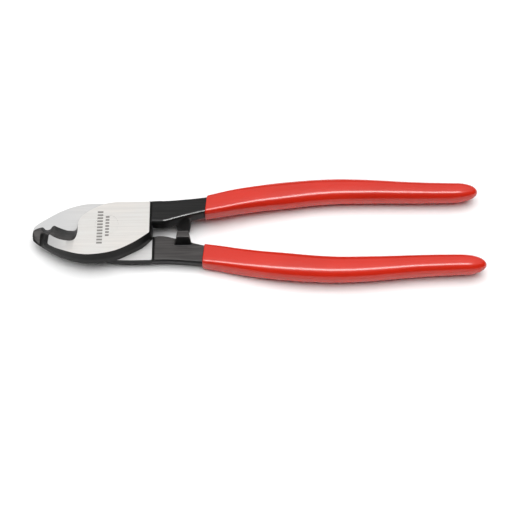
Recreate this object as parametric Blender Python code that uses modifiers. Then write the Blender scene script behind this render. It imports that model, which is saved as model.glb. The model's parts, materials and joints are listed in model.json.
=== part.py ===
"""Shear-type cable cutting pliers: two identical drop-forged halves, lapped at a flush pivot rivet.

Each half is drawn once, with its lap face up to z = 0 and its outer face at z = +HALF_THICK. Its jaw
points to -X and -Y, and its handle to +X and +Y. The front half stands that way up on the lap plane.
The rear half is the same forging turned over about the X axis. Lengths are in metres.
"""

import math

import bmesh
import bpy
from mathutils import Vector

MM = 0.001

# Driving dimensions
HALF_THICK = 7.8 * MM
LAP_GAP = 0.3 * MM
FIT_GAP = 0.3 * MM
NOSE_X = -40.4 * MM
GRIP_TIP_X = 200.6 * MM
GRIP_START_X = 52.0 * MM
TANG_END_X = 189.0 * MM
COAT = 1.35 * MM

RIVET_RADIUS = 4.5 * MM
RIVET_HEAD_RADIUS = 6.2 * MM
RIVET_HEAD_DEPTH = 2.4 * MM
ROUND_SIDES = 40
TANG_SIDES = 16
GRIP_SIDES = 24

# The forging keeps straight sides over this share of its thickness, then slopes in to the outer face.
STRAIGHT_SHARE = 0.45
HEAD_LEVELS = (0.0, 0.22, 0.45, 0.72, 1.0)

# The jaw thins from here to the nose, as shares of the full thickness.
THINNING = ((-40.0, 0.60), (-36.0, 0.66), (-31.0, 0.76), (-26.0, 0.89), (-22.0, 0.97), (-18.0, 1.0))

# Stop blocks: the closing angle that brings their faces together, and their size at the lap plane.
CLOSING_DEG = 10.9
STOP_X = 40.4 * MM
STOP_LENGTH = 9.0 * MM
STOP_DEPTH = 4.5 * MM
STOP_RISE = 6.2 * MM
STOP_TAPER = 0.7 * MM
STOP_TOP_GAP = 2.6 * MM
STOP_DRAFT = math.tan(math.radians(7.5))

# Handle sections of one half, in millimetres. Along X, then the section's middle across the tool, its
# level, its half width, its half thickness, its squareness and the lean of its outer wall.
SHANK = (
    (10.0, 10.2, 3.85, 6.6, 3.2, 10.0, 2.3),
    (24.4, 9.9, 3.85, 7.95, 3.65, 10.0, 2.3),
    (30.5, 9.9, 3.85, 8.0, 3.65, 10.0, 2.3),
    (35.5, 10.75, 3.85, 7.4, 3.65, 10.0, 2.3),
    (42.0, 12.1, 3.8, 6.7, 3.6, 9.0, 2.3),
    (51.0, 14.0, 3.5, 5.9, 3.5, 7.0, 2.0),
)
GRIP = (
    (52.0, 14.1, 3.20, 6.50, 4.60, 4.2, 1.0),
    (60.0, 15.8, 2.90, 6.75, 4.90, 3.6, 0.5),
    (70.0, 18.3, 2.20, 7.00, 5.20, 3.0, 0.0),
    (82.0, 21.0, 1.20, 7.30, 5.50, 2.6, 0.0),
    (95.0, 23.2, 0.40, 7.55, 5.70, 2.4, 0.0),
    (109.0, 25.0, 0.00, 7.35, 5.75, 2.3, 0.0),
    (122.0, 25.8, 0.00, 7.10, 5.70, 2.3, 0.0),
    (135.0, 25.7, 0.00, 6.85, 5.65, 2.3, 0.0),
    (148.0, 25.2, 0.00, 6.40, 5.55, 2.3, 0.0),
    (161.0, 24.5, 0.00, 5.95, 5.40, 2.3, 0.0),
    (174.0, 24.0, 0.00, 5.65, 5.20, 2.3, 0.0),
    (187.0, 23.8, 0.00, 5.35, 5.00, 2.3, 0.0),
    (200.6, 24.1, 0.00, 5.10, 4.80, 2.3, 0.0),
)
TIP_BLUNTNESS = 2.3


def clear_scene():
    for obj in list(bpy.data.objects):
        bpy.data.objects.remove(obj, do_unlink=True)


def collection(name, hidden=False):
    found = bpy.data.collections.new(name)
    found.hide_render = hidden
    bpy.context.scene.collection.children.link(found)
    return found


def material(name, colour, roughness, metallic):
    found = bpy.data.materials.new(name)
    found.use_nodes = True
    shader = found.node_tree.nodes["Principled BSDF"]
    shader.inputs["Base Color"].default_value = (*colour, 1.0)
    shader.inputs["Roughness"].default_value = roughness
    shader.inputs["Metallic"].default_value = metallic
    return found


def curve_through(points, steps):
    """Catmull-Rom points through the given ones, of any number of coordinates, ends included."""
    ends = [points[0], *points, points[-1]]
    found = []
    for before, start, end, after in zip(ends, ends[1:], ends[2:], ends[3:]):
        for step in range(steps):
            t = step / steps
            weights = (
                0.5 * (-t + 2 * t**2 - t**3),
                0.5 * (2 - 5 * t**2 + 3 * t**3),
                0.5 * (t + 4 * t**2 - 3 * t**3),
                0.5 * (-(t**2) + t**3),
            )
            corners = zip(before, start, end, after)
            found.append(tuple(sum(w * c for w, c in zip(weights, values)) for values in corners))
    found.append(tuple(points[-1]))
    return found


def evenly(points, count):
    """The same line, resampled to count points at equal steps along it."""
    lengths = [0.0]
    for a, b in zip(points, points[1:]):
        lengths.append(lengths[-1] + math.dist(a, b))
    found = []
    for i in range(count):
        target = lengths[-1] * i / (count - 1)
        k = max(j for j in range(len(lengths) - 1) if lengths[j] <= target + 1e-12)
        share = (target - lengths[k]) / (lengths[k + 1] - lengths[k])
        found.append(tuple(a + (b - a) * share for a, b in zip(points[k], points[k + 1])))
    return found


def value_at(table, x):
    """A table's value at x, in straight steps between its rows of (x, value)."""
    for (x0, v0), (x1, v1) in zip(table, table[1:]):
        if x <= x1:
            return v0 + (v1 - v0) * max(0.0, (x - x0) / (x1 - x0))
    return table[-1][1]


def stretch(lap, outer, count, relieved=False):
    """One length of the head's side: its line on the lap face and on the outer face, point for point."""
    lap_line = evenly(curve_through(lap, 8), count)
    outer_line = evenly(curve_through(outer, 8), count)
    return [(a, b, relieved) for a, b in zip(lap_line[:-1], outer_line[:-1])]


def head_outline():
    """The head's side all the way round, anticlockwise from the nose, in millimetres."""
    back = stretch(
        ((-40.2, -4.2), (-35.2, -8.6), (-26.0, -14.8), (-17.0, -18.5), (-8.0, -19.9), (4.0, -17.9),
         (14.0, -11.9), (24.4, -4.8)),
        ((-32.6, -8.2), (-30.8, -10.3), (-25.5, -14.4), (-17.0, -18.0), (-8.0, -19.1), (4.0, -17.1),
         (14.0, -12.0), (22.6, -5.4)),
        25,
    )
    end = stretch(((24.4, -4.8), (24.4, 17.9)), ((22.6, -5.4), (22.6, 14.9)), 3)
    shoulder = stretch(
        ((24.4, 17.9), (12.0, 17.9), (4.0, 17.4), (-3.0, 14.8), (-9.5, 10.8), (-14.3, 5.8), (-16.0, 1.9)),
        ((22.6, 14.9), (12.0, 14.8), (4.0, 14.8), (-2.0, 13.5), (-8.0, 10.4), (-13.3, 6.0), (-15.4, 1.5)),
        18,
    )
    shear_edge = stretch(
        ((-16.0, 1.9), (-18.0, 1.8), (-20.5, 1.8), (-22.7, 2.1), (-25.4, 3.2), (-27.6, 4.4), (-28.8, 5.3),
         (-29.6, 5.4)),
        ((-15.4, 1.5), (-15.6, -3.2), (-16.2, -6.1), (-17.6, -9.2), (-19.9, -10.3), (-22.3, -10.2),
         (-24.7, -9.4), (-26.6, -8.3)),
        17,
        relieved=True,
    )
    wire_notch = stretch(
        ((-29.6, 5.4), (-30.6, 4.9), (-31.8, 3.1), (-32.8, 2.7), (-33.8, 3.4), (-35.0, 4.6)),
        ((-26.6, -8.3), (-27.7, -7.5), (-28.8, -6.4), (-29.7, -5.5), (-30.4, -5.0), (-31.2, -4.8)),
        8,
        relieved=True,
    )
    nose = stretch(
        ((-35.0, 4.6), (-38.0, 3.3), (-40.4, 1.7)),
        ((-31.2, -4.8), (-31.9, -5.0), (-32.6, -5.4)),
        4,
        relieved=True,
    )
    tip = stretch(((-40.4, 1.7), (-40.2, -4.2)), ((-32.6, -5.4), (-32.6, -8.2)), 4)
    return back + end + shoulder + shear_edge + wire_notch + nose + tip


def slope(share):
    """How far the side has come in, of its whole way to the outer face, at this share of the height."""
    return max(0.0, (share - STRAIGHT_SHARE) / (1 - STRAIGHT_SHARE))


def skin(rings):
    """A closed mesh over rings of the same number of points, capped at both ends."""
    mesh = bmesh.new()
    rows = [[mesh.verts.new(point) for point in ring] for ring in rings]
    for low, high in zip(rows, rows[1:]):
        for i in range(len(low)):
            j = (i + 1) % len(low)
            mesh.faces.new((low[i], low[j], high[j], high[i]))
    mesh.faces.new(reversed(rows[0]))
    mesh.faces.new(rows[-1])
    bmesh.ops.recalc_face_normals(mesh, faces=mesh.faces)
    return mesh


def object_of(mesh, name, where):
    """An object in that collection from a bmesh, which it frees."""
    data = bpy.data.meshes.new(name)
    mesh.to_mesh(data)
    mesh.free()
    found = bpy.data.objects.new(name, data)
    where.objects.link(found)
    return found


def head(name, where):
    """The jaw and the joint disc of one half."""
    outline = head_outline()
    rings = []
    for share in HEAD_LEVELS:
        ring = []
        for lap, outer, relieved in outline:
            t = share if relieved else slope(share)
            x = lap[0] + (outer[0] - lap[0]) * t
            y = lap[1] + (outer[1] - lap[1]) * t
            ring.append(Vector((x * MM, y * MM, share * HALF_THICK)))
        rings.append(ring)
    mesh = skin(rings)
    for x, _ in THINNING[1:]:
        geometry = mesh.verts[:] + mesh.edges[:] + mesh.faces[:]
        bmesh.ops.bisect_plane(mesh, geom=geometry, plane_co=(x * MM, 0, 0), plane_no=(1, 0, 0))
    for vert in mesh.verts:
        vert.co.z *= value_at(THINNING, vert.co.x / MM)
        vert.co.z = max(vert.co.z, LAP_GAP / 2)
    return object_of(mesh, name, where)


def section(row, grow, sides):
    """A ring across the handle: a superellipse, whose outer wall leans in towards the outer face."""
    x, across, level, half_width, half_thick, squareness, lean = row
    power = 2 / squareness
    ring = []
    for i in range(sides):
        angle = 2 * math.pi * (i + 0.5) / sides
        c, s = math.cos(angle), math.sin(angle)
        y = math.copysign(abs(c) ** power, c)
        z = math.copysign(abs(s) ** power, s)
        leaned = lean * max(0.0, y) * slope((z + 1) / 2)
        y = across + (half_width + grow) * y - leaned
        ring.append(Vector((x, y, level + (half_thick + grow) * z)) * MM)
    return ring


def tang_rows():
    """The shank, then the tang inside the grip, which follows the grip's line a coat's thickness in."""
    coat = COAT / MM
    rows = list(SHANK)
    for x, across, level, half_width, half_thick, _, lean in GRIP[1:-1]:
        rows.append((x, across, level, half_width - coat, half_thick - coat, 4.0, lean))
    rows.append((TANG_END_X / MM, *rows[-1][1:]))
    return curve_through(rows, 2)


def tang(name, where, grow=0.0):
    """The shank and tang as one bar. A grown one cuts its own clearance."""
    rows = tang_rows()
    if grow:
        rows = [row for row in rows if row[0] * MM > GRIP_START_X - 8 * MM]
        rows[-1] = (rows[-1][0] + grow, *rows[-1][1:])
    return object_of(skin([section(row, grow, TANG_SIDES) for row in rows]), name, where)


def stop_block(name, where):
    """The drafted block at the shank's inner edge. Its face leans the same way as the other half's."""
    reach = math.tan(math.radians(CLOSING_DEG / 2))
    rings = []
    for z in (HALF_THICK - STOP_TOP_GAP, 0.0, -STOP_RISE):
        drafted = max(0.0, -z) * STOP_DRAFT
        half_inner = STOP_LENGTH / 2 - STOP_TAPER - drafted
        half_outer = STOP_LENGTH / 2 - drafted
        outer_y = STOP_X * reach + STOP_DEPTH - drafted
        face = [(x, x * reach + z * STOP_DRAFT) for x in (STOP_X - half_inner, STOP_X + half_inner)]
        back = [(x, outer_y) for x in (STOP_X + half_outer, STOP_X - half_outer)]
        rings.append([Vector((x, y, z)) for x, y in face + back])
    return object_of(skin(rings), name, where)


def rivet_profile(grow):
    """Half the rivet's outline, top to bottom."""
    end = HALF_THICK + (1 * MM if grow else 0.0)
    neck = HALF_THICK - RIVET_HEAD_DEPTH
    points = [(0, end), (RIVET_HEAD_RADIUS + grow, end), (RIVET_HEAD_RADIUS + grow, HALF_THICK - 0.5 * MM),
              (RIVET_RADIUS + grow, neck)]
    return points + [(r, -z) for r, z in reversed(points)]


def turned(name, profile, where):
    """A profile turned about Z. Its two ends lie on the axis."""
    mesh = bmesh.new()
    verts = [mesh.verts.new((r, 0, z)) for r, z in profile]
    for a, b in zip(verts, verts[1:]):
        mesh.edges.new((a, b))
    found = object_of(mesh, name, where)
    screw = found.modifiers.new("Turn", "SCREW")
    screw.steps = ROUND_SIDES
    screw.render_steps = ROUND_SIDES
    screw.use_merge_vertices = True
    screw.merge_threshold = 0.00001
    return found


def combine(target, other, operation):
    boolean = target.modifiers.new(other.name, "BOOLEAN")
    boolean.operation = operation
    boolean.object = other
    boolean.solver = "EXACT"
    other.display_type = "WIRE"
    other.hide_render = True


def forged_half(name, parts, cutters, steel, hub, flipped):
    """One forging: head, shank with its tang, stop block and the rivet's bore."""
    found = head(name, parts)
    combine(found, tang(name + "_bar", cutters), "UNION")
    combine(found, stop_block(name + "_stop_shape", cutters), "UNION")
    combine(found, turned(name + "_bore", rivet_profile(FIT_GAP), cutters), "DIFFERENCE")
    finish(found, steel, hub, flipped)
    return found


def grip_rows():
    """The grip's sections from its rounded lip to its blunt tip."""
    body = curve_through(GRIP[:-1], 3)
    x, across, level, half_width, half_thick, *others = body[0]
    rows = [
        (x, across, level, half_width - 0.5, half_thick - 0.5, *others),
        (x + 0.25, across, level, half_width - 0.15, half_thick - 0.15, *others),
        (x + 0.9, across, level, half_width, half_thick, *others),
        *body[1:],
    ]
    x, across, level, half_width, half_thick, *others = body[-1]
    for share in (0.22, 0.42, 0.6, 0.75, 0.87, 0.95, 0.99):
        size = math.sqrt(1 - share**TIP_BLUNTNESS)
        tip_x = x + (GRIP[-1][0] - x) * share
        tip_across = across + (GRIP[-1][1] - across) * share
        rows.append((tip_x, tip_across, level, half_width * size, half_thick * size, *others))
    rows.append((GRIP[-1][0], GRIP[-1][1], level, half_width * 0.06, half_thick * 0.06, *others))
    return rows


def dipped_grip(name, parts, cutters, vinyl, hub, flipped):
    """A sleeve of vinyl over the tang, closed at its tip, open where the shank comes out."""
    found = object_of(skin([section(row, 0.0, GRIP_SIDES) for row in grip_rows()]), name, parts)
    combine(found, tang(name + "_cavity", cutters, grow=FIT_GAP / MM), "DIFFERENCE")
    finish(found, vinyl, hub, flipped)
    return found


def finish(obj, finish_material, hub, flipped):
    """Its material, its place on the pivot and, on the rear half, its turn about the X axis."""
    obj.data.materials.append(finish_material)
    obj.data.shade_smooth()
    obj.data.set_sharp_from_angle(angle=math.radians(35))
    for piece in [obj] + [m.object for m in obj.modifiers if m.type == "BOOLEAN"]:
        piece.parent = hub
        piece.rotation_euler.x = math.pi if flipped else 0.0


def pivot_rivet(parts, steel, hub):
    found = turned("pivot_rivet", rivet_profile(0.0), parts)
    found.data.materials.append(steel)
    found.data.shade_smooth()
    found.parent = hub
    return found


def main():
    clear_scene()
    parts = collection("cable_cutting_pliers")
    cutters = collection("cutters", hidden=True)
    steel = material("ground_and_blacked_steel", (0.55, 0.54, 0.52), 0.32, 1.0)
    rivet_steel = material("rivet_steel", (0.62, 0.61, 0.59), 0.3, 1.0)
    vinyl = material("dipped_red_vinyl", (0.66, 0.035, 0.02), 0.28, 0.0)

    hub = bpy.data.objects.new("pivot_axis", None)
    parts.objects.link(hub)
    hub.location = (-(NOSE_X + GRIP_TIP_X) / 2, 0, HALF_THICK)

    forged_half("front_half", parts, cutters, steel, hub, flipped=False)
    forged_half("rear_half", parts, cutters, steel, hub, flipped=True)
    pivot_rivet(parts, rivet_steel, hub)
    dipped_grip("front_grip", parts, cutters, vinyl, hub, flipped=False)
    dipped_grip("rear_grip", parts, cutters, vinyl, hub, flipped=True)


main()
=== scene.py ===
"""The looks of a pair of cable cutting pliers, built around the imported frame.

Each half is made as the real one is: a forging with soft edges, ground flat on its outer face and on its
lap face, then bored for the rivet. It is drawn once, in millimetres about the pivot, with its lap face at
z = 0, its outer face at z = +HALF_THICK, its jaw to -X and -Y and its handle to +X and +Y. The rear half is
the same shape turned over about the X axis.
"""

import json
import math

import bmesh
import bpy
import numpy as np
from mathutils import Matrix, Vector

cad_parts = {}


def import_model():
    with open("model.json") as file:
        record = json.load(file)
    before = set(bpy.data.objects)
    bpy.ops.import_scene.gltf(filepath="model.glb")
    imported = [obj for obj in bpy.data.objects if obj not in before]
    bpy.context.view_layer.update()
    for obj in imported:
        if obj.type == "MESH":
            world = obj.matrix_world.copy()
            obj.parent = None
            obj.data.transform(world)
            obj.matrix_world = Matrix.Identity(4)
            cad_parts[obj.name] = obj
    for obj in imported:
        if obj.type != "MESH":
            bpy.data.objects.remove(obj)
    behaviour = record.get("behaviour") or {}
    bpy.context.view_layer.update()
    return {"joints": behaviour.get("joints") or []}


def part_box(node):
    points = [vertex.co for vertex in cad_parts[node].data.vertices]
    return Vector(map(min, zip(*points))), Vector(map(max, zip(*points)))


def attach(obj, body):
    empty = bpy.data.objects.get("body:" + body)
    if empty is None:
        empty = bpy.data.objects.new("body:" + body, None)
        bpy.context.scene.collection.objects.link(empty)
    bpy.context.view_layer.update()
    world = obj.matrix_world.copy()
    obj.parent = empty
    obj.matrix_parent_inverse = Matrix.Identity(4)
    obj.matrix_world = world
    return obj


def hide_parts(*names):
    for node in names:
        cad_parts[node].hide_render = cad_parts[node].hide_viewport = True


MM = 0.001

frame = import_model()
PIVOT = Vector(frame["joints"][0]["pos_m"])
HALF_THICK = (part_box("pivot_rivet")[1].z - PIVOT.z) / MM
GRIP_TIP_X = (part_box("front_grip")[1].x - PIVOT.x) / MM
TANG_END_X = (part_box("front_half")[1].x - PIVOT.x) / MM

# Fits that show as hairlines
LAP_SEAM = 0.05
RIVET_SEAM = 0.04
GRIP_SEAM = 0.06
STOP_SEAM = 0.12

# How thick the vinyl is over the tang
COAT = 1.35

# The grooves where the head's ground faces end on the shank
OUTER_END = 23.6
LAP_END = 24.9
GROOVE_DEPTH = 1.0

# The head's side, by share of the height: straight up to the first, stepped back between the next two,
# and folded at the last where the jaw is hollow. Its rings run past both faces, for the grinding.
STRAIGHT_SHARE = 0.45
STEP_SHARE = 0.57
SHELF_SHARE = 0.585
FOLD_SHARE = 0.75
SHARE_LEVELS = (-0.15, 0.0, 0.15, 0.3, STRAIGHT_SHARE, STEP_SHARE, SHELF_SHARE, 0.67, FOLD_SHARE, 0.88, 1.0,
                1.16)

# The forging: its voxel, how long it is smoothed, and where along the tool the grinding stops
VOXEL = 0.32
SMOOTHING_STEPS = 5
GRINDING_END = 30.0
BAR_SIDES = 48
GRIP_SIDES = 72

RIVET_RADIUS = 4.5
RIVET_HEAD_RADIUS = 6.2
RIVET_HEAD_DEPTH = 2.4
RIVET_SIDES = 120

# The jaw thins by this share from THIN_FROM to the nose. Cuts across it this far apart let it bend.
THINNING = 0.4
THIN_FROM = -18.0
NOSE_X = -40.0
JAW_CUT_STEP = 1.0

# The nose's thickness changes by this share with each millimetre across the tool, from the line at
# NOSE_LEVEL_Y. The change comes in over NOSE_TILT_RUN.
NOSE_TILT = 0.11
NOSE_TILT_FROM = -33.0
NOSE_TILT_RUN = 3.0
NOSE_LEVEL_Y = -1.0

# The stop block: its middle along the tool, its size, and how its walls taper and draft
CLOSING_DEG = 10.9
STOP_X = 40.4
STOP_LENGTH = 9.0
STOP_DEPTH = 4.5
STOP_RISE = 6.2
STOP_TAPER = 0.7
STOP_TOP_GAP = 2.6
STOP_RELIEF = 0.7
STOP_DRAFT = math.tan(math.radians(7.5))

# The shank's inner edge is broken by a flat, this wide across and this steep. Past the bend it is
# polished by the hand, wherever the surface leans in between these limits and lies this near the top.
EDGE_BREAK = 1.3
EDGE_SLOPE = math.tan(math.radians(24))
SHANK_BEND = 30.0
POLISHED_LEAN = (0.2, 0.65)
POLISHED_RISE = 0.75
POLISHED_DEPTH = 2.2

# Handle sections of one half. Along X, then the section's middle across the tool, its level, its half
# width, its half thickness, its squareness and the lean of its outer wall.
SHANK = (
    (10.0, 10.2, 3.85, 6.6, 3.2, 10.0, 2.3),
    (24.4, 9.9, 3.85, 7.95, 3.65, 10.0, 2.3),
    (30.5, 9.9, 3.85, 8.0, 3.65, 10.0, 2.3),
    (35.5, 10.75, 3.85, 7.4, 3.65, 10.0, 2.3),
    (42.0, 12.1, 3.8, 6.7, 3.6, 9.0, 2.3),
    (51.0, 14.0, 3.5, 5.9, 3.5, 7.0, 2.0),
)
GRIP = (
    (52.0, 14.1, 3.20, 6.50, 4.60, 4.2, 1.0),
    (60.0, 15.8, 2.90, 6.75, 4.90, 3.6, 0.5),
    (70.0, 18.3, 2.20, 7.00, 5.20, 3.0, 0.0),
    (82.0, 21.0, 1.20, 7.30, 5.50, 2.6, 0.0),
    (95.0, 23.2, 0.40, 7.55, 5.70, 2.4, 0.0),
    (109.0, 25.0, 0.00, 7.35, 5.75, 2.3, 0.0),
    (122.0, 25.8, 0.00, 7.10, 5.70, 2.3, 0.0),
    (135.0, 25.7, 0.00, 6.85, 5.65, 2.3, 0.0),
    (148.0, 25.2, 0.00, 6.40, 5.55, 2.3, 0.0),
    (161.0, 24.5, 0.00, 5.95, 5.40, 2.3, 0.0),
    (174.0, 24.0, 0.00, 5.65, 5.20, 2.3, 0.0),
    (187.0, 23.8, 0.00, 5.35, 5.00, 2.3, 0.0),
    (GRIP_TIP_X, 24.1, 0.00, 5.10, 4.80, 2.3, 0.0),
)
TIP_BLUNTNESS = 2.3

# The lip of each grip: how round it is, how far in its mouth starts, and how far along the grip it still
# leans. Each stands a little up or down the tool, and a little askew.
LIP_ROUND = 0.6
MOUTH_INSET = 0.25
LIP_REACH = 12.0
LIP_SHIFT = {"front": 0.6, "rear": -0.9}
LIP_LEAN = {"front": 0.1, "rear": -0.1}

# Two columns of etched bars: their middle and half width along the tool, where they start and end
# across it, and their pitch. Each bar fills this share of the pitch, and shows this near the outer face.
ETCHED_COLUMNS = ((-3.6, 1.5, -12.4, 9.6, 2.0), (0.3, 1.0, -7.6, 6.4, 2.0))
ETCHED_SHARE = 0.6
ETCHED_DEPTH = 0.1

# A point that stands this far above the middle of its neighbours is on a sharp edge.
SHARP_RISE = 0.03

# The studio, in metres
FLOOR_RADIUS = 12.0
FLOOR_GAP = 0.0001


# Lines


def curve_through(points, steps):
    """Catmull-Rom points through the given ones, of any number of coordinates, ends included."""
    ends = [points[0], *points, points[-1]]
    found = []
    for before, start, end, after in zip(ends, ends[1:], ends[2:], ends[3:]):
        for step in range(steps):
            t = step / steps
            weights = (
                0.5 * (-t + 2 * t**2 - t**3),
                0.5 * (2 - 5 * t**2 + 3 * t**3),
                0.5 * (t + 4 * t**2 - 3 * t**3),
                0.5 * (-(t**2) + t**3),
            )
            corners = zip(before, start, end, after)
            found.append(tuple(sum(w * c for w, c in zip(weights, values)) for values in corners))
    found.append(tuple(points[-1]))
    return found


def evenly(points, count):
    """The same line, resampled to count points at equal steps along it."""
    line = np.array(points)
    lengths = np.concatenate([[0.0], np.cumsum(np.linalg.norm(np.diff(line, axis=0), axis=1))])
    places = np.linspace(0.0, lengths[-1], count)
    return np.stack([np.interp(places, lengths, line[:, k]) for k in range(line.shape[1])], axis=1)


def stretch(count, *levels):
    """One length of the head's side. Each level is a share of the height and the line it follows there."""
    shares = [share for share, _ in levels]
    lines = [evenly(curve_through(points, 8), count)[:-1] for _, points in levels]
    return [(shares, [line[i] for line in lines]) for i in range(count - 1)]


def side_at(column, share):
    """Where one point of the side stands at that share of the height. It goes straight on past the top."""
    shares, places = column
    if share <= shares[0]:
        return places[0]
    last = len(shares) - 2
    k = min(last, max(i for i in range(len(shares)) if shares[i] <= share))
    return places[k] + (places[k + 1] - places[k]) * (share - shares[k]) / (shares[k + 1] - shares[k])


def head_side():
    """The head's side all the way round, anticlockwise from the chin under the nose."""
    chin_lap = ((-39.8, -4.4), (-38.0, -6.3), (-35.2, -8.6))
    chin = stretch(
        8,
        (0.0, chin_lap),
        (0.4, chin_lap),
        (STEP_SHARE, ((-39.3, -2.3), (-37.2, -3.9), (-34.6, -6.9))),
        (SHELF_SHARE, ((-35.9, -2.6), (-35.4, -4.6), (-34.2, -7.3))),
        (1.0, ((-31.0, -9.6), (-31.0, -10.4), (-30.6, -11.0))),
    )
    back_lap = ((-35.2, -8.6), (-26.0, -14.8), (-17.0, -18.5), (-8.0, -19.9), (4.0, -18.2), (14.0, -13.3),
                (19.6, -9.5), (23.8, -4.8))
    back_outer = ((-30.6, -11.0), (-25.5, -14.5), (-17.0, -18.0), (-8.0, -19.1), (4.0, -17.1),
                  (14.0, -12.0), (22.6, -5.4))
    back = stretch(60, (0.0, back_lap), (STRAIGHT_SHARE, back_lap), (1.0, back_outer))
    end_lap = ((23.8, -4.8), (23.8, 17.9))
    end = stretch(8, (0.0, end_lap), (STRAIGHT_SHARE, end_lap), (1.0, ((22.6, -5.4), (22.6, 14.9))))
    shoulder_lap = ((23.8, 17.9), (12.0, 17.9), (4.0, 17.4), (-3.0, 14.8), (-9.5, 10.8), (-14.3, 5.8),
                    (-16.0, 1.9))
    shoulder_outer = ((22.6, 14.9), (12.0, 14.8), (4.0, 14.8), (-2.0, 13.5), (-8.0, 10.4), (-13.3, 6.0),
                      (-15.4, 1.5))
    shoulder = stretch(44, (0.0, shoulder_lap), (STRAIGHT_SHARE, shoulder_lap), (1.0, shoulder_outer))
    shear_edge = stretch(
        36,
        (0.0, ((-16.0, 1.9), (-18.0, 1.8), (-20.5, 2.0), (-22.7, 2.5), (-25.4, 3.7), (-27.6, 4.8),
               (-28.7, 5.5), (-29.5, 5.5))),
        (FOLD_SHARE, ((-15.7, 1.5), (-15.9, -1.8), (-17.0, -4.9), (-19.6, -6.2), (-22.8, -5.8),
                      (-25.3, -4.9), (-27.0, -4.3), (-27.6, -4.0))),
        (1.0, ((-15.4, 1.5), (-15.3, -3.2), (-15.6, -6.3), (-16.6, -9.1), (-18.8, -10.3), (-22.0, -9.7),
               (-24.7, -8.7), (-26.6, -7.6))),
    )
    wire_notch = stretch(
        18,
        (0.0, ((-29.5, 5.5), (-30.3, 4.6), (-31.0, 3.1), (-32.2, 2.6), (-33.4, 2.7), (-34.2, 3.6),
               (-35.0, 4.6))),
        (STEP_SHARE, ((-28.1, -1.6), (-29.3, -1.2), (-31.0, -1.4), (-32.6, -1.2), (-34.2, -0.4),
                      (-35.6, 1.2))),
        (SHELF_SHARE, ((-28.0, -1.7), (-29.2, -1.4), (-30.8, -1.7), (-32.2, -1.6), (-33.6, -1.2),
                       (-34.9, -0.2))),
        (1.0, ((-26.6, -7.6), (-27.7, -6.9), (-28.7, -6.2), (-29.4, -5.4), (-29.8, -4.9), (-30.2, -4.6))),
    )
    nose = stretch(
        8,
        (0.0, ((-35.0, 4.6), (-37.6, 3.6), (-39.4, 2.6), (-40.3, 1.0))),
        (STEP_SHARE, ((-35.6, 1.2), (-37.4, 1.0), (-39.0, 0.4), (-39.8, -0.6))),
        (SHELF_SHARE, ((-34.9, -0.2), (-35.4, -0.6), (-35.8, -1.0))),
        (1.0, ((-30.2, -4.6), (-30.45, -4.7), (-30.7, -4.9))),
    )
    tip = stretch(
        8,
        (0.0, ((-40.3, 1.0), (-40.3, -1.6), (-39.8, -4.4))),
        (STEP_SHARE, ((-39.8, -0.6), (-39.7, -1.4), (-39.3, -2.3))),
        (SHELF_SHARE, ((-35.8, -1.0), (-35.9, -2.6))),
        (1.0, ((-30.7, -4.9), (-31.0, -9.6))),
    )
    return chin + back + end + shoulder + shear_edge + wire_notch + nose + tip


# Solids in millimetres


def add_skin(mesh, rings):
    """A closed body over rings of the same number of points, capped at both ends."""
    rows = [[mesh.verts.new(point) for point in ring] for ring in rings]
    for low, high in zip(rows, rows[1:]):
        for i in range(len(low)):
            j = (i + 1) % len(low)
            mesh.faces.new((low[i], low[j], high[j], high[i]))
    mesh.faces.new(reversed(rows[0]))
    mesh.faces.new(rows[-1])


def head_rings():
    side = head_side()
    return [[(*side_at(column, share), share * HALF_THICK) for column in side] for share in SHARE_LEVELS]


def section(row, grow, sides):
    """A ring across the handle: a superellipse, whose outer wall leans in towards the outer face."""
    x, across, level, half_width, half_thick, squareness, lean = row
    power = 2 / squareness
    ring = []
    for i in range(sides):
        angle = 2 * math.pi * (i + 0.5) / sides
        c, s = math.cos(angle), math.sin(angle)
        y = math.copysign(abs(c) ** power, c)
        z = math.copysign(abs(s) ** power, s)
        leaned = lean * max(0.0, y) * max(0.0, ((z + 1) / 2 - STRAIGHT_SHARE) / (1 - STRAIGHT_SHARE))
        ring.append((x, across + (half_width + grow) * y - leaned, level + (half_thick + grow) * z))
    return ring


def bar_rows():
    """The shank, then the tang inside the grip, which follows the grip's line a coat's thickness in."""
    rows = list(SHANK)
    for x, across, level, half_width, half_thick, _, lean in GRIP[1:-1]:
        rows.append((x, across, level, half_width - COAT, half_thick - COAT, 4.0, lean))
    rows.append((TANG_END_X, *rows[-1][1:]))
    return curve_through(rows, 6)


def bar_rings():
    """The bar, let in by a groove along each ground face's end, where the head stands proud of it."""
    rows = bar_rows()
    places = sorted([row[0] for row in rows] + [x + d for x in (OUTER_END, LAP_END) for d in (0.0, 0.05)])
    rings = []
    for x in places:
        row = [float(np.interp(x, [r[0] for r in rows], [r[k] for r in rows])) for k in range(7)]
        low = GROOVE_DEPTH if x <= LAP_END else -HALF_THICK
        high = HALF_THICK - GROOVE_DEPTH if x <= OUTER_END else HALF_THICK
        inner_edge = row[1] - row[3]
        ring = []
        for px, py, pz in section(row, 0.0, BAR_SIDES):
            broken = row[2] + row[4] - max(0.0, inner_edge + EDGE_BREAK - py) * EDGE_SLOPE
            ring.append((px, py, min(max(pz, low), high, broken)))
        rings.append(ring)
    return rings


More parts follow.
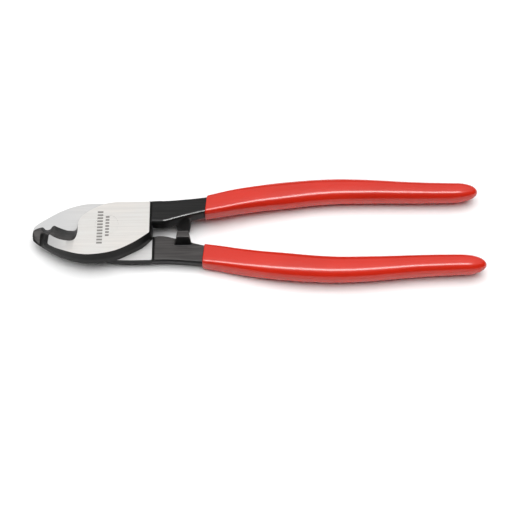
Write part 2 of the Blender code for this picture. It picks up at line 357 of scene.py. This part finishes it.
def stop_rings():
    """The drafted block at the shank's inner edge. Its face leans the same way as the other half's."""
    reach = math.tan(math.radians(CLOSING_DEG / 2))
    rings = []
    for z in (HALF_THICK - STOP_TOP_GAP, 0.0, -STOP_RISE):
        drafted = max(0.0, -z) * STOP_DRAFT
        half_inner = STOP_LENGTH / 2 - STOP_TAPER - drafted
        half_outer = STOP_LENGTH / 2 - drafted
        outer_y = STOP_X * reach + STOP_DEPTH - drafted
        near, far = STOP_X - half_inner, STOP_X + half_inner
        relief = STOP_RELIEF * max(0.0, -z) / STOP_RISE
        face = [(near, near * reach + z * STOP_DRAFT + STOP_SEAM + relief),
                (far, far * reach + z * STOP_DRAFT + STOP_SEAM)]
        back = [(x, outer_y) for x in (STOP_X + half_outer, STOP_X - half_outer)]
        rings.append([(x, y, z) for x, y in face + back])
    return rings


def rivet_profile(grow, end):
    """Half the rivet's outline, top to bottom."""
    neck = HALF_THICK - RIVET_HEAD_DEPTH
    top = ((0.0, end), (RIVET_HEAD_RADIUS + grow, end), (RIVET_HEAD_RADIUS + grow, HALF_THICK - 0.5),
           (RIVET_RADIUS + grow, neck))
    return top + tuple((r, -z) for r, z in reversed(top))


def turned(profile, sides):
    """A closed body of a profile turned about Z, whose two ends lie on the axis."""
    mesh = bmesh.new()
    verts = [mesh.verts.new((r, 0, z)) for r, z in profile]
    edges = [mesh.edges.new(pair) for pair in zip(verts, verts[1:])]
    bmesh.ops.spin(mesh, geom=verts + edges, axis=(0, 0, 1), cent=(0, 0, 0), angle=2 * math.pi,
                   steps=sides, use_merge=True)
    bmesh.ops.remove_doubles(mesh, verts=mesh.verts, dist=0.0005)
    bmesh.ops.recalc_face_normals(mesh, faces=mesh.faces)
    return mesh


def object_of(mesh, name):
    data = bpy.data.meshes.new(name)
    mesh.to_mesh(data)
    mesh.free()
    found = bpy.data.objects.new(name, data)
    bpy.context.scene.collection.objects.link(found)
    return found


def apply_modifiers(obj):
    graph = bpy.context.evaluated_depsgraph_get()
    data = bpy.data.meshes.new_from_object(obj.evaluated_get(graph))
    obj.modifiers.clear()
    obj.data = data


def grind(mesh, level, upward, before_x):
    """Takes off what stands past the level, and closes the cut with a ground face."""
    faces = [f for f in mesh.faces if f.calc_center_median().x < before_x]
    edges = {e for f in faces for e in f.edges}
    verts = {v for f in faces for v in f.verts}
    bmesh.ops.bisect_plane(mesh, geom=[*verts, *edges, *faces], plane_co=(0, 0, level),
                           plane_no=(0, 0, 1 if upward else -1), clear_outer=True)
    rim = [e for e in mesh.edges if e.is_boundary]
    bmesh.ops.holes_fill(mesh, edges=rim, sides=0)


def forged():
    """The half's forging, before it is bored: soft edges all over, then ground outside and on the lap."""
    mesh = bmesh.new()
    add_skin(mesh, head_rings())
    add_skin(mesh, bar_rings())
    add_skin(mesh, stop_rings())
    bmesh.ops.recalc_face_normals(mesh, faces=mesh.faces)
    found = object_of(mesh, "forging")
    remesh = found.modifiers.new("Forge", "REMESH")
    remesh.mode = "VOXEL"
    remesh.voxel_size = VOXEL
    apply_modifiers(found)

    mesh = bmesh.new()
    mesh.from_mesh(found.data)
    for _ in range(SMOOTHING_STEPS):
        bmesh.ops.smooth_vert(mesh, verts=mesh.verts, factor=0.5, use_axis_x=True, use_axis_y=True,
                              use_axis_z=True)
    grind(mesh, HALF_THICK, True, GRINDING_END)
    grind(mesh, LAP_SEAM, False, GRINDING_END)
    bmesh.ops.recalc_face_normals(mesh, faces=mesh.faces)
    for x in np.arange(NOSE_X, THIN_FROM, JAW_CUT_STEP):
        geometry = mesh.verts[:] + mesh.edges[:] + mesh.faces[:]
        bmesh.ops.bisect_plane(mesh, geom=geometry, plane_co=(x, 0, 0), plane_no=(1, 0, 0))
    mesh.to_mesh(found.data)
    mesh.free()
    return found


def thinned(mesh):
    """The jaw's thickness falls smoothly towards its nose, whose shelf leans down to the outside."""
    places = np.empty(len(mesh.vertices) * 3, np.float32)
    mesh.vertices.foreach_get("co", places)
    places = places.reshape(-1, 3)
    t = np.clip((THIN_FROM - places[:, 0]) / (THIN_FROM - NOSE_X), 0, 1)
    share = 1 - THINNING * (3 * t**2 - 2 * t**3)
    at_nose = np.clip((NOSE_TILT_FROM - places[:, 0]) / NOSE_TILT_RUN, 0, 1)
    share *= 1 + NOSE_TILT * (places[:, 1] - NOSE_LEVEL_Y) * at_nose
    places[:, 2] = LAP_SEAM + (places[:, 2] - LAP_SEAM) * share
    mesh.vertices.foreach_set("co", places.ravel())
    mesh.update()


def mark_faces(mesh):
    """The second material is the ground outer face's, the third the lap's, the fourth the broken edge's."""
    for face in mesh.polygons:
        heights = [mesh.vertices[i].co.z for i in face.vertices]
        for index, level in ((1, HALF_THICK), (2, LAP_SEAM)):
            if max(abs(z - level) for z in heights) < 0.001:
                face.material_index = index
        least, most = POLISHED_LEAN
        leans_in = least < -face.normal.y < most and face.normal.z > POLISHED_RISE
        near_top = face.center.z > HALF_THICK - POLISHED_DEPTH
        if leans_in and near_top and face.center.x > SHANK_BEND:
            face.material_index = 3


def half_mesh():
    found = forged()
    bore = object_of(turned(rivet_profile(RIVET_SEAM, HALF_THICK + 1), RIVET_SIDES), "bore")
    drill = found.modifiers.new("Bore", "BOOLEAN")
    drill.operation = "DIFFERENCE"
    drill.object = bore
    drill.solver = "EXACT"
    bpy.context.view_layer.update()
    apply_modifiers(found)
    mesh = found.data
    for _ in range(4):
        mesh.materials.append(None)
    mark_faces(mesh)
    thinned(mesh)
    bpy.data.objects.remove(bore)
    bpy.data.objects.remove(found)
    return mesh


def grip_rows():
    """The grip's sections from its lip to its blunt tip."""
    body = curve_through(GRIP[:-1], 8)
    x, across, level, half_width, half_thick, *others = body[0]
    rows = []
    for angle in np.radians((0, 22, 45, 67, 90)):
        back, along = LIP_ROUND * (1 - math.sin(angle)), LIP_ROUND * (1 - math.cos(angle))
        rows.append((x + along, across, level, half_width - back, half_thick - back, *others))
    rows += [row for row in body if row[0] > x + LIP_ROUND + 0.2]
    x, across, level, half_width, half_thick, *others = body[-1]
    for share in np.sin(np.radians((12, 24, 36, 47, 57, 66, 74, 81, 86))):
        size = (1 - share**TIP_BLUNTNESS) ** 0.5
        rows.append((x + (GRIP_TIP_X - x) * share, across + (GRIP[-1][1] - across) * share, level,
                     half_width * size, half_thick * size, *others))
    rows.append((GRIP_TIP_X, GRIP[-1][1], level, half_width * 0.03, half_thick * 0.03, *others))
    return rows


def dipped_to(ring, shift, lean):
    """The ring moved along the tool near the lip, which stands a little askew, as the half was dipped."""
    x = ring[0][0]
    near = max(0.0, 1 - (x - GRIP[0][0]) / LIP_REACH)
    return [(x + near * (shift + lean * (py - GRIP[0][1])), py, pz) for _, py, pz in ring]


def grip_mesh(shift, lean):
    """A sleeve of vinyl: from the blind end of its cavity out to the lip, and back outside to the tip."""
    lip_x = GRIP[0][0]
    inside = [row for row in bar_rows() if row[0] > lip_x + 1.0]
    inside[-1] = (inside[-1][0] + GRIP_SEAM, *inside[-1][1:])
    cavity = [section(row, GRIP_SEAM, GRIP_SIDES) for row in reversed(inside)]
    mouth_row = [row for row in bar_rows() if row[0] > lip_x + 0.1][0]
    cavity.append(section((lip_x + MOUTH_INSET, *mouth_row[1:]), GRIP_SEAM, GRIP_SIDES))
    outside = [section(row, 0.0, GRIP_SIDES) for row in grip_rows()]
    mesh = bmesh.new()
    add_skin(mesh, [dipped_to(ring, shift, lean) for ring in cavity + outside])
    bmesh.ops.recalc_face_normals(mesh, faces=mesh.faces)
    return mesh


# Materials


class Paint:
    """A material under construction: its nodes, and short ways to add and join them."""

    def __init__(self, name):
        self.material = bpy.data.materials.new(name)
        self.material.use_nodes = True
        self.tree = self.material.node_tree
        self.shader = self.tree.nodes["Principled BSDF"]
        coordinates = self.tree.nodes.new("ShaderNodeTexCoord")
        self.place = coordinates.outputs["Object"]
        self.normal = coordinates.outputs["Normal"]

    def put(self, socket, value):
        if isinstance(value, bpy.types.NodeSocket):
            self.tree.links.new(value, socket)
        else:
            socket.default_value = value

    def constant(self, **values):
        for name, value in values.items():
            self.shader.inputs[name.replace("_", " ")].default_value = value

    def drive(self, name, value):
        self.put(self.shader.inputs[name], value)

    def node(self, kind, **values):
        found = self.tree.nodes.new(kind)
        for name, value in values.items():
            setattr(found, name, value)
        return found

    def stretched(self, scale):
        """The object's coordinates, each multiplied by its own scale."""
        found = self.node("ShaderNodeVectorMath", operation="MULTIPLY")
        self.put(found.inputs[0], self.place)
        found.inputs[1].default_value = scale
        return found.outputs[0]

    def noise(self, scale, detail=3.0, roughness=0.55):
        """Noise from 0 to 1, with so many grains to the metre along X, Y and Z."""
        found = self.node("ShaderNodeTexNoise")
        self.put(found.inputs["Vector"], self.stretched(scale))
        found.inputs["Scale"].default_value = 1.0
        found.inputs["Detail"].default_value = detail
        found.inputs["Roughness"].default_value = roughness
        return found.outputs["Fac"]

    def math(self, operation, a, b=0.0, clamp=False):
        found = self.node("ShaderNodeMath", operation=operation, use_clamp=clamp)
        self.put(found.inputs[0], a)
        self.put(found.inputs[1], b)
        return found.outputs[0]

    def remap(self, value, low, high, to_low=0.0, to_high=1.0):
        found = self.node("ShaderNodeMapRange", interpolation_type="SMOOTHSTEP")
        for name, part in (("Value", value), ("From Min", low), ("From Max", high), ("To Min", to_low),
                           ("To Max", to_high)):
            self.put(found.inputs[name], part)
        return found.outputs[0]

    def mix(self, factor, a, b):
        found = self.node("ShaderNodeMix", data_type="RGBA")
        self.put(found.inputs["Factor"], factor)
        for socket, colour in ((found.inputs[6], a), (found.inputs[7], b)):
            self.put(socket, colour if isinstance(colour, bpy.types.NodeSocket) else (*colour, 1.0))
        return found.outputs[2]

    def axis(self, name, vector=None):
        """One coordinate of the vector, or else of the place on the object."""
        found = self.node("ShaderNodeSeparateXYZ")
        self.put(found.inputs[0], vector or self.place)
        return found.outputs[name]

    def bump(self, height, distance, strength=1.0, under=None):
        found = self.node("ShaderNodeBump")
        self.put(found.inputs["Height"], height)
        found.inputs["Distance"].default_value = distance
        found.inputs["Strength"].default_value = strength
        if under is not None:
            self.put(found.inputs["Normal"], under)
        return found.outputs[0]


def etched_bars(paint):
    """1 inside two plain columns of short etched bars on the outer face, 0 elsewhere."""
    x, y, z = (paint.math("MULTIPLY", paint.axis(name), 1 / MM) for name in "XYZ")
    columns = []
    for middle, half_width, start, end, pitch in ETCHED_COLUMNS:
        from_middle = paint.math("ABSOLUTE", paint.math("SUBTRACT", x, middle))
        across = paint.math("LESS_THAN", from_middle, half_width)
        centre, reach = (start + end) / 2, (end - start) / 2
        along = paint.math("LESS_THAN", paint.math("ABSOLUTE", paint.math("SUBTRACT", y, centre)), reach)
        phase = paint.math("FRACT", paint.math("DIVIDE", paint.math("SUBTRACT", y, start), pitch))
        bar = paint.math("LESS_THAN", phase, ETCHED_SHARE)
        columns.append(paint.math("MULTIPLY", paint.math("MULTIPLY", across, along), bar))
    marked = paint.math("MAXIMUM", *columns)
    return paint.math("MULTIPLY", marked, paint.math("GREATER_THAN", z, HALF_THICK - ETCHED_DEPTH))


def ground_steel(name, warm, pale, low, metallic, marked=False):
    """Steel ground bright, with fine streaks along the tool, in clouds of two tones, duller at the nose."""
    paint = Paint(name)
    fine = paint.noise((40.0, 2600.0, 2600.0), 4.0, 0.6)
    coarse = paint.noise((18.0, 520.0, 520.0), 3.0, 0.55)
    cloud = paint.noise((42.0, 60.0, 60.0), 2.0, 0.5)
    streak = paint.math("ADD", paint.math("MULTIPLY", fine, 0.5), paint.math("MULTIPLY", coarse, 0.5))
    bright = paint.mix(paint.remap(cloud, 0.35, 0.65), pale, warm)
    even = paint.mix(paint.remap(streak, 0.36, 0.64), low, bright)
    colour = paint.mix(paint.remap(paint.axis("X"), -12.0 * MM, -34.0 * MM), even, (0.50, 0.50, 0.50))
    roughness = paint.remap(streak, 0.3, 0.7, 0.44, 0.36)
    if marked:
        mark = etched_bars(paint)
        grain = paint.noise((3000.0, 3000.0, 3000.0), 2.0)
        colour = paint.mix(paint.math("MULTIPLY", mark, paint.remap(grain, 0.2, 0.5, 0.75, 0.95)), colour,
                           (0.24, 0.23, 0.22))
        roughness = paint.math("ADD", roughness, paint.math("MULTIPLY", mark, 0.25))
    paint.drive("Base Color", colour)
    paint.drive("Roughness", roughness)
    paint.drive("Normal", paint.bump(streak, 0.00006, 0.5))
    paint.constant(Metallic=metallic)
    return paint.material


def blacked_steel():
    """Forged steel with a black oxide skin. Its walls are coloured darker than its flats: painted shade,
    for the light that falls from above.

    The flats are rubbed where the halves pass: at the lap's level, on the stop's end and along the jaw.
    """
    paint = Paint("blacked_steel")
    mottle = paint.noise((260.0, 260.0, 260.0), 4.0, 0.6)
    streak = paint.noise((35.0, 900.0, 900.0), 3.0, 0.6)
    pits = paint.noise((1500.0, 1500.0, 1500.0), 3.0, 0.6)
    # Painted shade: the walls face away from the light above, so they get a darker copy of the skin's
    # colour than the flats.
    painted_shade_wall = paint.mix(paint.remap(mottle, 0.3, 0.7), (0.004, 0.004, 0.0041), (0.008, 0.0078, 0.0076))
    flat = paint.mix(paint.remap(streak, 0.3, 0.7), (0.006, 0.006, 0.0061), (0.013, 0.0128, 0.0125))
    rubbed = paint.mix(paint.remap(streak, 0.3, 0.7), (0.036, 0.0335, 0.033), (0.064, 0.060, 0.0585))
    x, z = paint.axis("X"), paint.axis("Z")
    lap = paint.math("MULTIPLY", paint.remap(z, 0.8 * MM, 0.5 * MM), paint.remap(z, -1.0 * MM, -0.5 * MM))
    stop = paint.remap(z, -5.7 * MM, -5.9 * MM)
    jaw = paint.remap(x, -17.0 * MM, -19.0 * MM)
    passing = paint.math("MAXIMUM", paint.math("MAXIMUM", lap, stop), jaw)
    # Which way the surface faces picks the painted shade: faces that look up get the flat colour, upright
    # walls the darker wall colour.
    facing_light_mask = paint.remap(paint.math("ABSOLUTE", paint.axis("Z", paint.normal)), 0.84, 0.93)
    colour = paint.mix(facing_light_mask, painted_shade_wall, paint.mix(passing, flat, rubbed))
    edge = paint.node("ShaderNodeAttribute", attribute_name="edge").outputs["Fac"]
    worn = paint.math("MULTIPLY", paint.remap(paint.math("MULTIPLY", edge, mottle), 0.28, 0.6), 0.25)
    paint.drive("Base Color", paint.mix(worn, colour, (0.30, 0.29, 0.28)))
    paint.drive("Roughness", paint.remap(mottle, 0.25, 0.75, 0.34, 0.46))
    paint.drive("Metallic", worn)
    paint.constant(Specular_IOR_Level=0.20)
    paint.drive("Normal", paint.bump(pits, 0.00003, 0.5, paint.bump(mottle, 0.00008, 0.4)))
    return paint.material


def burnished_steel():
    """The same skin where the hand has polished it, along the shank's broken edge."""
    paint = Paint("burnished_steel")
    streak = paint.noise((35.0, 900.0, 900.0), 3.0, 0.6)
    colour = paint.mix(paint.remap(streak, 0.3, 0.7), (0.020, 0.020, 0.020), (0.035, 0.034, 0.033))
    paint.drive("Base Color", colour)
    paint.drive("Roughness", paint.remap(streak, 0.3, 0.7, 0.22, 0.28))
    paint.constant(Specular_IOR_Level=0.90)
    return paint.material


def dipped_vinyl():
    """Glossy red vinyl, with the faint unevenness of a dipped coat."""
    paint = Paint("dipped_vinyl")
    flow = paint.noise((28.0, 60.0, 60.0), 2.0, 0.5)
    fine = paint.noise((700.0, 700.0, 700.0), 2.0, 0.5)
    colour = paint.mix(paint.remap(flow, 0.3, 0.7), (0.54, 0.017, 0.005), (0.59, 0.019, 0.006))
    paint.drive("Base Color", colour)
    paint.drive("Roughness", paint.remap(fine, 0.3, 0.7, 0.19, 0.24))
    paint.drive("Normal", paint.bump(fine, 0.00001, 0.4, paint.bump(flow, 0.0002, 0.4)))
    paint.constant(IOR=1.54)
    return paint.material


def floor_paint():
    paint = Paint("pale_floor")
    grain = paint.noise((6.0, 6.0, 6.0), 2.0)
    paint.drive("Base Color", paint.mix(grain, (0.90, 0.90, 0.90), (0.92, 0.92, 0.92)))
    paint.constant(Roughness=0.9, Specular_IOR_Level=0.1)
    return paint.material


# Pieces


def edge_sharpness(mesh):
    """Stores how convex the surface is at each point, from 0 to 1, as the attribute named edge."""
    places = np.empty(len(mesh.vertices) * 3)
    mesh.vertices.foreach_get("co", places)
    places = places.reshape(-1, 3)
    normals = np.empty(len(mesh.vertices) * 3)
    mesh.vertex_normals.foreach_get("vector", normals)
    ends = np.empty(len(mesh.edges) * 2, np.int32)
    mesh.edges.foreach_get("vertices", ends)
    ends = ends.reshape(-1, 2)
    total = np.zeros_like(places)
    count = np.zeros(len(places))
    for a, b in ((0, 1), (1, 0)):
        np.add.at(total, ends[:, a], places[ends[:, b]])
        np.add.at(count, ends[:, a], 1)
    rise = -((total / np.maximum(count, 1)[:, None] - places) * normals.reshape(-1, 3)).sum(1)
    attribute = mesh.attributes.new("edge", "FLOAT", "POINT")
    attribute.data.foreach_set("value", np.clip(rise / SHARP_RISE, 0, 1).astype(np.float32))


def place(obj, body, node, flipped):
    """The piece from millimetres about the pivot to its place in the frame, on its body."""
    obj.data.transform(Matrix.Scale(MM, 4))
    obj.data.update()
    obj.location = PIVOT
    obj.rotation_euler.x = math.pi if flipped else 0.0
    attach(obj, body)
    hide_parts(node)


def smooth_but_sharp(mesh, degrees):
    mesh.shade_smooth()
    mesh.set_sharp_from_angle(angle=math.radians(degrees))


def make_halves(black, burnished, ground, plain_ground, lapped):
    shape = half_mesh()
    edge_sharpness(shape)
    for body, flipped, face in (("front", False, ground), ("rear", True, plain_ground)):
        mesh = shape.copy()
        mesh.materials[0] = black
        mesh.materials[1] = face
        mesh.materials[2] = lapped
        mesh.materials[3] = burnished
        smooth_but_sharp(mesh, 28)
        half = bpy.data.objects.new(body + "_forging", mesh)
        bpy.context.scene.collection.objects.link(half)
        place(half, body, body + "_half", flipped)


def make_rivet(ground):
    rivet = object_of(turned(rivet_profile(0.0, HALF_THICK), RIVET_SIDES), "flush_rivet")
    rivet.data.materials.append(ground)
    smooth_but_sharp(rivet.data, 30)
    place(rivet, "front", "pivot_rivet", False)


def make_grips(vinyl):
    for body, flipped in (("front", False), ("rear", True)):
        grip = object_of(grip_mesh(LIP_SHIFT[body], LIP_LEAN[body]), body + "_dipped_grip")
        grip.data.materials.append(vinyl)
        smooth_but_sharp(grip.data, 50)
        place(grip, body, body + "_grip", flipped)


# Studio


def floor():
    mesh = bmesh.new()
    bmesh.ops.create_circle(mesh, cap_ends=True, radius=FLOOR_RADIUS, segments=96)
    found = object_of(mesh, "floor")
    found.location.z = -FLOOR_GAP
    found.data.materials.append(floor_paint())


def softbox(name, direction_deg, distance, width, depth, radiance):
    """A rectangular lamp in the YZ plane of the tool, at an angle from +Y over the top towards -Y."""
    lamp = bpy.data.lights.new(name, "AREA")
    lamp.shape = "RECTANGLE"
    lamp.size = width
    lamp.size_y = depth
    lamp.energy = radiance * math.pi * width * depth
    found = bpy.data.objects.new(name, lamp)
    bpy.context.scene.collection.objects.link(found)
    angle = math.radians(direction_deg)
    away = Vector((0.0, math.cos(angle), math.sin(angle)))
    found.location = away * distance
    found.rotation_mode = "QUATERNION"
    found.rotation_quaternion = away.to_track_quat("Z", "Y")
    return found


def world():
    found = bpy.data.worlds.new("studio")
    bpy.context.scene.world = found
    found.use_nodes = True
    background = found.node_tree.nodes["Background"]
    background.inputs["Color"].default_value = (1.0, 1.0, 1.0, 1.0)
    background.inputs["Strength"].default_value = 0.05


def camera():
    """Above the tool and in front of it, 35 degrees off the vertical, with a long lens."""
    data = bpy.data.cameras.new("camera")
    data.sensor_width = 36.0
    data.lens = 102.2
    found = bpy.data.objects.new("camera", data)
    bpy.context.scene.collection.objects.link(found)
    aim = PIVOT + Vector((79.03, -16.36, 0.0)) * MM
    away = Vector((-7.6, -441.6, 630.8)) * MM
    found.location = aim + away
    found.rotation_mode = "QUATERNION"
    found.rotation_quaternion = away.to_track_quat("Z", "Y")
    bpy.context.scene.camera = found


def main():
    tones = ((0.765, 0.735, 0.70), (0.745, 0.74, 0.72), (0.69, 0.67, 0.645))
    ground = ground_steel("ground_steel_marked", *tones, 0.86, marked=True)
    plain_ground = ground_steel("ground_steel", *tones, 0.86)
    lapped = ground_steel("lapped_steel", (0.57, 0.56, 0.55), (0.55, 0.55, 0.55), (0.50, 0.495, 0.49), 0.3)
    make_halves(blacked_steel(), burnished_steel(), ground, plain_ground, lapped)
    make_rivet(ground)
    make_grips(dipped_vinyl())
    camera()
    floor()
    world()
    # The first two lamps are seen only as highlights, and the third lights everything without one.
    overhead = softbox("overhead", 62, 1.1, 3.4, 1.75, 0.86)
    overhead.visible_diffuse = False
    strip = softbox("strip", 102, 0.9, 0.9, 0.17, 16.0)
    strip.visible_diffuse = False
    fill = softbox("fill", 90, 8.0, 10.1, 10.1, 3.7)
    fill.visible_glossy = False
    bpy.context.scene.view_settings.view_transform = "Standard"


main()
